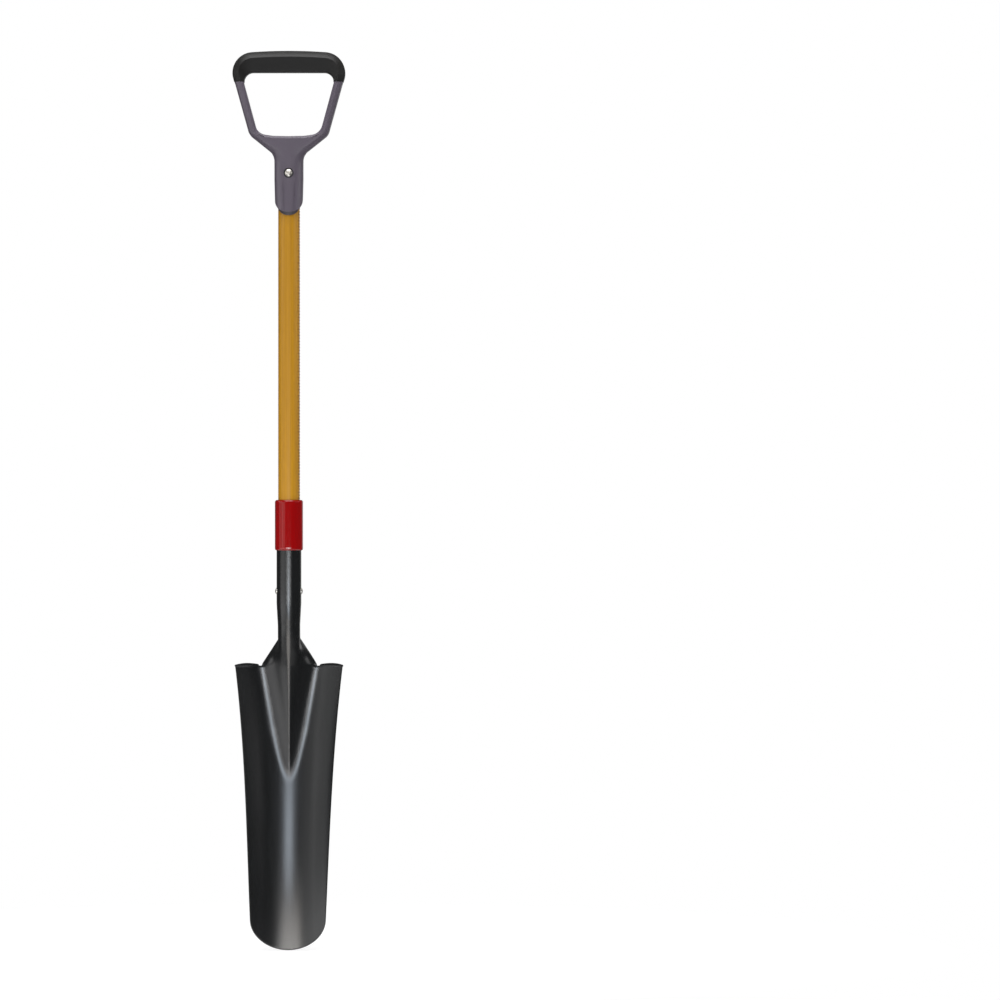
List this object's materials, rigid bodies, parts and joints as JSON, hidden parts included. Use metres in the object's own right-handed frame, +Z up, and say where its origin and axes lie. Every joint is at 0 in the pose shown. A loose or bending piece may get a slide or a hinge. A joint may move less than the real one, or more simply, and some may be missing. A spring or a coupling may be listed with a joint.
{
  "type": "trenching spade",
  "caption": "Trenching spade with a long narrow scooped steel blade, rolled open-back socket, riveted fibreglass shaft, collar and padded D grip.",
  "frame": {"origin": "where the spade hangs on a peg: the middle of the crossbar's underside, on the shaft's axis", "axes": "+Z up along the shaft's axis to the crossbar, -Y the way the scoop faces, +X to the right as seen from the front"},
  "size_m": [0.1526, 0.0735, 1.2202],
  "materials": {
    "head_lacquer": "semi-gloss black lacquer on steel sheet",
    "fastener_steel": "bright zinc-plated steel",
    "collar_plastic": "glossy red plastic",
    "shaft_fibreglass": "smooth amber fibreglass with a dotted anti-slip strip",
    "plug_wood": "plain turned wood",
    "grip_plastic": "finely textured grey plastic",
    "cushion_rubber": "soft black over-moulding"
  },
  "bodies": {
    "root": {"blade_head": "head_lacquer", "socket_rivet": "fastener_steel", "socket_collar": "collar_plastic", "shaft": "shaft_fibreglass", "lower_plug": "plug_wood", "upper_plug": "plug_wood", "grip_frame": "grip_plastic", "grip_cushion": "cushion_rubber", "grip_screw": "fastener_steel"}
  },
  "joints": []
}
